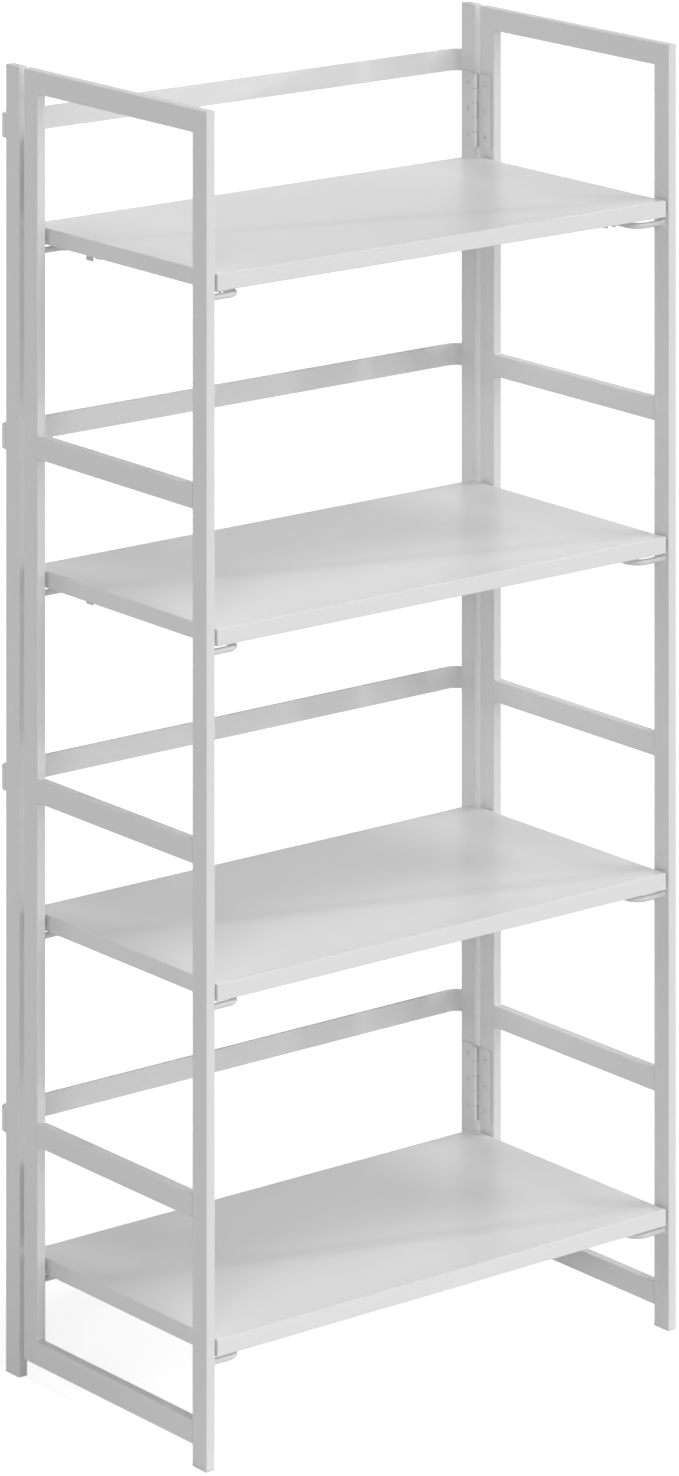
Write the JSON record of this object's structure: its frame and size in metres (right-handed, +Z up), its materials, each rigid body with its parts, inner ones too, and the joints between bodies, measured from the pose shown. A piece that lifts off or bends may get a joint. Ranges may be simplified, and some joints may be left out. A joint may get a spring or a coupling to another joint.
{
  "type": "folding bookcase",
  "caption": "Open freestanding bookcase of flat boards on bent rods, carried by two tubular side frames hinged to a back frame so that it packs flat.",
  "frame": {"origin": "on the floor, midway across the width and midway between the front posts' front faces and the back bars' rear faces", "axes": "+X to the right seen from the front, +Y to the back, +Z up"},
  "size_m": [0.57, 0.3374, 1.25],
  "materials": {
    "frame_paint": "white powder coat, satin, very fine orange peel",
    "shelf_board": "white satin laminate on particle board, banded edges",
    "tube_plugs": "white moulded plastic, fine texture",
    "clips": "white moulded plastic",
    "hinges": "white painted pressed steel",
    "screws": "white painted steel"
  },
  "bodies": {
    "back_frame": {"left_lower_back_leaf": "hinges", "left_upper_back_leaf": "hinges", "left_upright": "frame_paint", "left_back_foot": "tube_plugs", "left_top_cap": "tube_plugs", "right_lower_back_leaf": "hinges", "right_upper_back_leaf": "hinges", "right_upright": "frame_paint", "right_back_foot": "tube_plugs", "right_top_cap": "tube_plugs", "back_screws": "screws", "back_bar_1": "frame_paint", "back_bar_2": "frame_paint", "back_bar_3": "frame_paint", "back_bar_4": "frame_paint"},
    "left_frame": {"left_front_post": "frame_paint", "left_rear_post": "frame_paint", "left_top_rail": "frame_paint", "left_bottom_rail": "frame_paint", "left_side_rail_1": "frame_paint", "left_side_rail_2": "frame_paint", "left_side_rail_3": "frame_paint", "left_front_foot": "tube_plugs", "left_rod_1": "frame_paint", "left_rod_2": "frame_paint", "left_rod_3": "frame_paint", "left_rod_4": "frame_paint", "left_lower_side_leaf": "hinges", "left_upper_side_leaf": "hinges", "left_hinge_pins": "hinges", "left_side_screws": "screws"},
    "right_frame": {"right_front_post": "frame_paint", "right_rear_post": "frame_paint", "right_top_rail": "frame_paint", "right_bottom_rail": "frame_paint", "right_side_rail_1": "frame_paint", "right_side_rail_2": "frame_paint", "right_side_rail_3": "frame_paint", "right_front_foot": "tube_plugs", "right_rod_1": "frame_paint", "right_rod_2": "frame_paint", "right_rod_3": "frame_paint", "right_rod_4": "frame_paint", "right_lower_side_leaf": "hinges", "right_upper_side_leaf": "hinges", "right_hinge_pins": "hinges", "right_side_screws": "screws"},
    "shelf_1": {"shelf_1_board": "shelf_board", "shelf_1_clips": "clips", "shelf_1_clip_screws": "screws"},
    "shelf_2": {"shelf_2_board": "shelf_board", "shelf_2_clips": "clips", "shelf_2_clip_screws": "screws"},
    "shelf_3": {"shelf_3_board": "shelf_board", "shelf_3_clips": "clips", "shelf_3_clip_screws": "screws"},
    "shelf_4": {"shelf_4_board": "shelf_board", "shelf_4_clips": "clips", "shelf_4_clip_screws": "screws"}
  },
  "joints": [
    {"name": "left_frame_hinge", "type": "hinge", "parent": "back_frame", "child": "left_frame", "pos_m": [-0.27205, 0.12595, 0.169], "axis": [0, 0, 1], "range_deg": [-0.2, 0.2]},
    {"name": "right_frame_hinge", "type": "hinge", "parent": "back_frame", "child": "right_frame", "pos_m": [0.27205, 0.12595, 0.169], "axis": [0, 0, 1], "range_deg": [-0.2, 0.2]},
    {"name": "shelf_1_lift", "type": "slide", "parent": "back_frame", "child": "shelf_1", "axis": [0, -0.8, 0.6], "range_m": [0, 0.38]},
    {"name": "shelf_2_lift", "type": "slide", "parent": "back_frame", "child": "shelf_2", "axis": [0, -0.8, 0.6], "range_m": [0, 0.38]},
    {"name": "shelf_3_lift", "type": "slide", "parent": "back_frame", "child": "shelf_3", "axis": [0, -0.8, 0.6], "range_m": [0, 0.38]},
    {"name": "shelf_4_lift", "type": "slide", "parent": "back_frame", "child": "shelf_4", "axis": [0, -0.8, 0.6], "range_m": [0, 0.38]}
  ]
}
